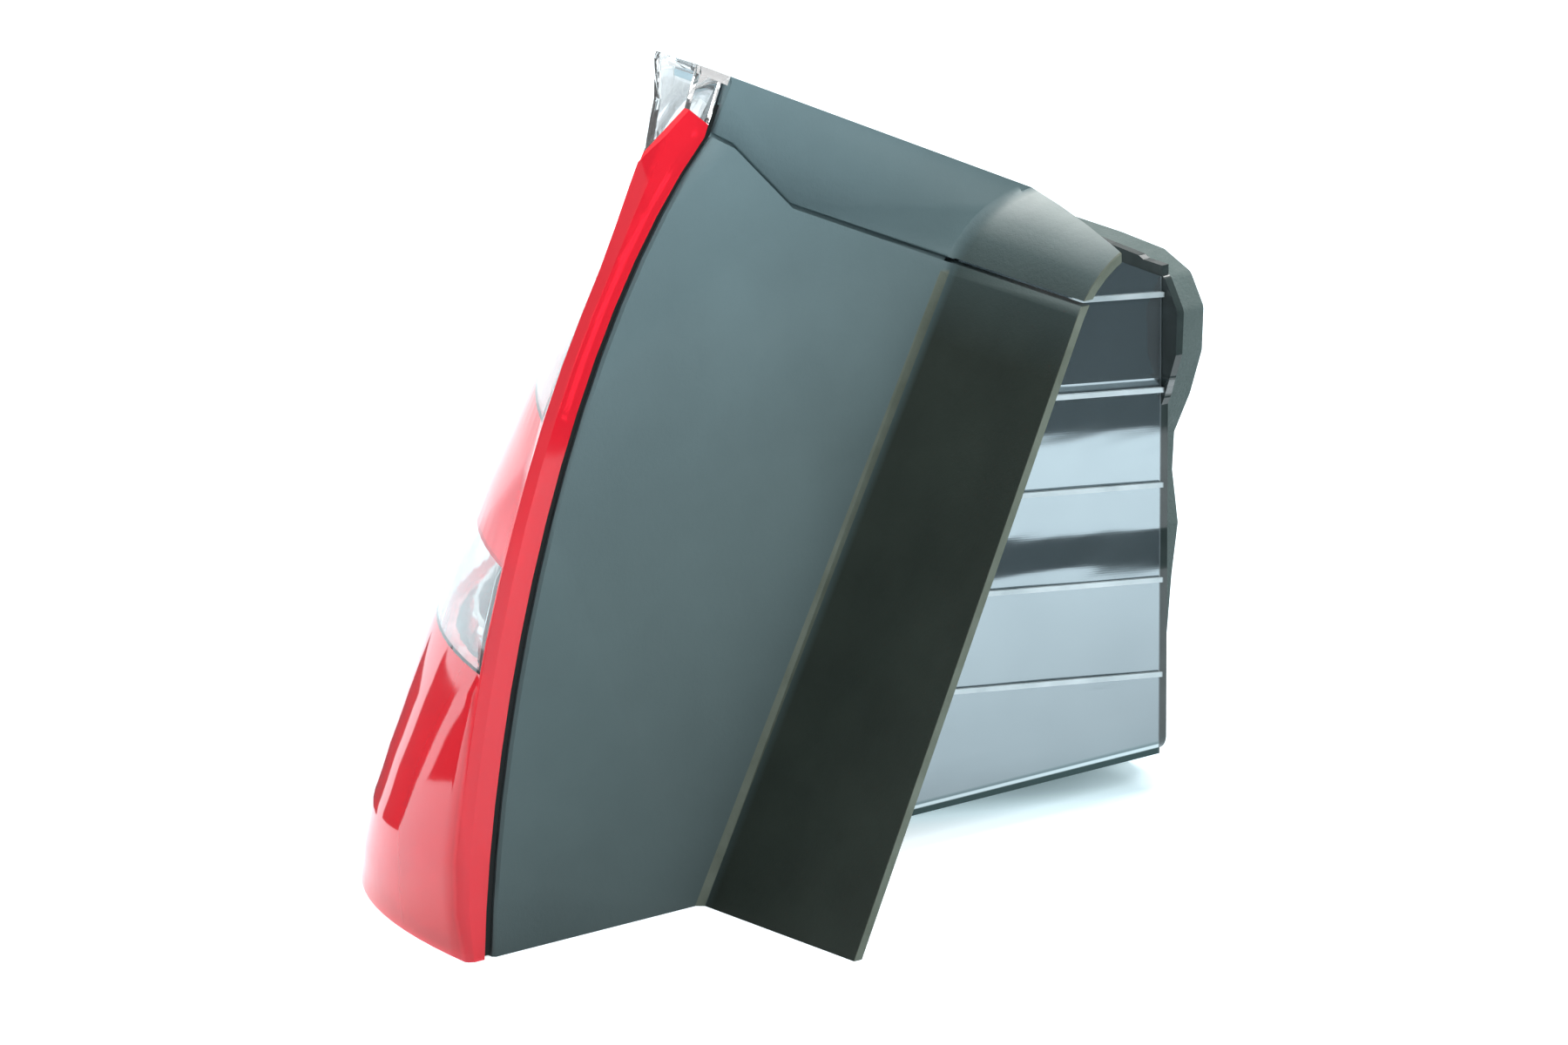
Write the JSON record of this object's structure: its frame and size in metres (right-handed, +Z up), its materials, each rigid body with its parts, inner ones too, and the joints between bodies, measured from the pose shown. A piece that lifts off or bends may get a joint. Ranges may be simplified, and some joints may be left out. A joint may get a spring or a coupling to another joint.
{
  "type": "tail light cluster",
  "caption": "Wrap-round left tail lamp: red lens with clear windows, matte tailgate-side cover with a channel flange, glossy ribbed housing, foam gasket and studs.",
  "frame": {"origin": "centre of the four studs, on the front face of the foam gasket, where the lamp meets the body", "axes": "+X forwards, along the studs, the way the lamp is pushed on; +Y outboard, to the left side of the car; +Z up"},
  "size_m": [0.3472, 0.222, 0.2996],
  "materials": {
    "housing_plastic": "glossy moulded grey, ribbed",
    "cover_plastic": "matte fine-grained moulding",
    "red_lens": "clear red moulding",
    "clear_lens": "clear colourless moulding",
    "seal_rubber": "soft black",
    "metallised_plastic": "vacuum metallised",
    "red_optic": "red moulding with prisms",
    "bulb_glass": "clear glass over a metal cap",
    "amber_glass": "amber glass over a metal cap",
    "carrier_plastic": "satin black",
    "contact_brass": "bright stamped strip",
    "gasket_foam": "closed-cell foam",
    "zinc_steel": "zinc plated"
  },
  "bodies": {
    "root": {"housing": "housing_plastic", "jamb_cover_lower": "cover_plastic", "jamb_cover_upper": "cover_plastic", "outer_lens_red": "red_lens", "outer_lens_stripe": "clear_lens", "outer_lens_top": "clear_lens", "lens_seal": "seal_rubber", "inner_bezel": "metallised_plastic", "fluted_optic": "red_optic", "reflex_reflector": "red_optic", "reflector": "metallised_plastic", "tail_bulb": "bulb_glass", "fog_bulb": "bulb_glass", "reverse_bulb": "bulb_glass", "indicator_bulb": "amber_glass", "bulb_carrier": "carrier_plastic", "carrier_gasket": "seal_rubber", "contact_strips": "contact_brass", "connector_terminals": "contact_brass", "mounting_gasket": "gasket_foam", "mounting_studs": "zinc_steel", "locating_ball_stud": "zinc_steel", "breather_cap": "seal_rubber"}
  },
  "joints": []
}
